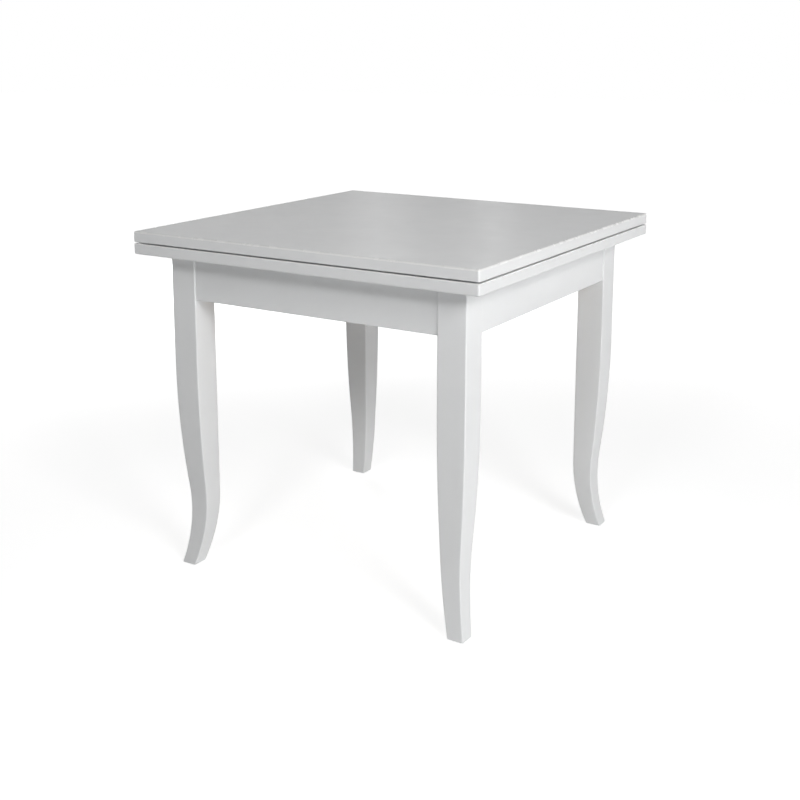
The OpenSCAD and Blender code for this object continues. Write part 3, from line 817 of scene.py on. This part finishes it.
stageLook = {
    "floorSize": 40.0,
    "floorColour": "F5F5F5",
    "whiteShare": 0.45,  # how much of the seen floor is plain white, the rest keeps the shadow
    "whiteNear": 1.70,  # strength of that white by the table
    "whiteFar": 2.3,
    "fadeFrom": 0.9,  # m from the table's middle, where it starts to change
    "fadeTo": 3.2,
    "skyLow": 0.10,  # light from the room at the horizon
    "skyHigh": 0.0,
    "skyTop": 0.9,  # upward part of a direction, from which the room is as dark as overhead
}


def seenRays(tree):
    # 1 where the camera, a gloss or a glass looks straight at the stage
    rays = addNode(tree, "ShaderNodeLightPath")
    seen = addNode(tree, "ShaderNodeMath", {"operation": "MAXIMUM"}, {
        0: rays.outputs["Is Camera Ray"], 1: rays.outputs["Is Glossy Ray"]})
    return addNode(tree, "ShaderNodeMath", {"operation": "MAXIMUM"}, {
        0: seen.outputs[0], 1: rays.outputs["Is Transmission Ray"]}).outputs[0]


def makeFloor():
    # a plain pale floor that keeps the table's shadow
    bm = bmesh.new()
    bmesh.ops.create_grid(bm, x_segments=1, y_segments=1, size=stageLook["floorSize"] / 2)
    floor = makeObject("floor", bm)
    material = bpy.data.materials.new("studio floor")
    tree = emptyTree(material)
    paint = addNode(tree, "ShaderNodeBsdfDiffuse", inputs={"Color": hexColour(stageLook["floorColour"])})
    place = addNode(tree, "ShaderNodeTexCoord")
    reach = addNode(tree, "ShaderNodeVectorMath", {"operation": "LENGTH"}, {
        0: place.outputs["Object"]})
    level = addNode(tree, "ShaderNodeMapRange", {"interpolation_type": "SMOOTHSTEP"}, {
        "Value": reach.outputs["Value"],
        "From Min": stageLook["fadeFrom"], "From Max": stageLook["fadeTo"],
        "To Min": stageLook["whiteNear"], "To Max": stageLook["whiteFar"]})
    glow = addNode(tree, "ShaderNodeEmission", inputs={
        "Color": (1, 1, 1, 1), "Strength": level.outputs["Result"]})
    share = addNode(tree, "ShaderNodeMath", {"operation": "MULTIPLY"}, {
        0: seenRays(tree), 1: stageLook["whiteShare"]})
    both = addNode(tree, "ShaderNodeMixShader", inputs={
        0: share.outputs[0], 1: paint.outputs["BSDF"], 2: glow.outputs["Emission"]})
    addNode(tree, "ShaderNodeOutputMaterial", inputs={"Surface": both.outputs["Shader"]})
    floor.data.materials.append(material)


def makeWorld():
    # a soft studio: dim all round, plain white where it is seen
    world = bpy.data.worlds.new("studio")
    tree = emptyTree(world)
    place = addNode(tree, "ShaderNodeTexCoord")
    axes = addNode(tree, "ShaderNodeSeparateXYZ", inputs={"Vector": place.outputs["Generated"]})
    level = addNode(tree, "ShaderNodeMapRange", inputs={
        "Value": axes.outputs["Z"], "From Min": 0.0, "From Max": stageLook["skyTop"],
        "To Min": stageLook["skyLow"], "To Max": stageLook["skyHigh"]})
    strength = addNode(tree, "ShaderNodeMix", {"data_type": "FLOAT"}, {
        0: seenRays(tree), 2: level.outputs["Result"], 3: 1.0})
    sky = addNode(tree, "ShaderNodeBackground", inputs={
        "Color": (1, 1, 1, 1), "Strength": strength.outputs[0]})
    addNode(tree, "ShaderNodeOutputWorld", inputs={"Surface": sky.outputs["Background"]})
    scene.world = world


# a soft box on the right, so that the right sides are the light ones, with a light in front, one low
# on the right for the feet and one low behind; none shows in the gloss, so no view has glare on the top
lamps = {
    "soft box": {"place": (3.26, -1.92, 2.50), "aim": (0, 0, 0.40), "size": 1.2, "power": 78},
    "front light": {"place": (0.6, -3.4, 2.70), "aim": (0, 0, 0.45), "size": 0.7, "power": 33},
    "low light": {"place": (3.1, -0.8, 0.22), "aim": (0, 0, 0.05), "size": 1.0, "power": 36},
    "back light": {"place": (-3.0, 2.5, 0.85), "aim": (0, 0, 0.45), "size": 1.6, "power": 80},
}
# two tall windows behind, which show only in the gloss, as the photograph's soft streaks on the top
windows = {
    "window left": {"place": (-1.75, 2.63, 2.0), "aim": (0, 0, 0.8), "width": 0.26, "height": 1.6,
                    "power": 0.66},
    "window right": {"place": (-1.40, 3.16, 2.0), "aim": (0.2, 0.1, 0.8), "width": 0.16, "height": 1.6,
                     "power": 0.52},
}


def addLamp(name, look, onlyGloss):
    data = bpy.data.lights.new(name, "AREA")
    data.energy = look["power"]
    data.size = look["width"] if onlyGloss else look["size"]
    if onlyGloss:
        data.shape = "RECTANGLE"
        data.size_y = look["height"]
    lamp = bpy.data.objects.new(name, data)
    lamp.location = look["place"]
    toward = Vector(look["aim"]) - Vector(look["place"])
    lamp.rotation_euler = toward.to_track_quat("-Z", "Y").to_euler()
    lamp.visible_glossy = onlyGloss
    lamp.visible_diffuse = not onlyGloss
    lamp.visible_camera = False
    scene.collection.objects.link(lamp)


makeFloor()
makeWorld()
for name, look in lamps.items():
    addLamp(name, look, onlyGloss=False)
for name, look in windows.items():
    addLamp(name, look, onlyGloss=True)
scene.view_settings.view_transform = "Standard"
print("stage: set")
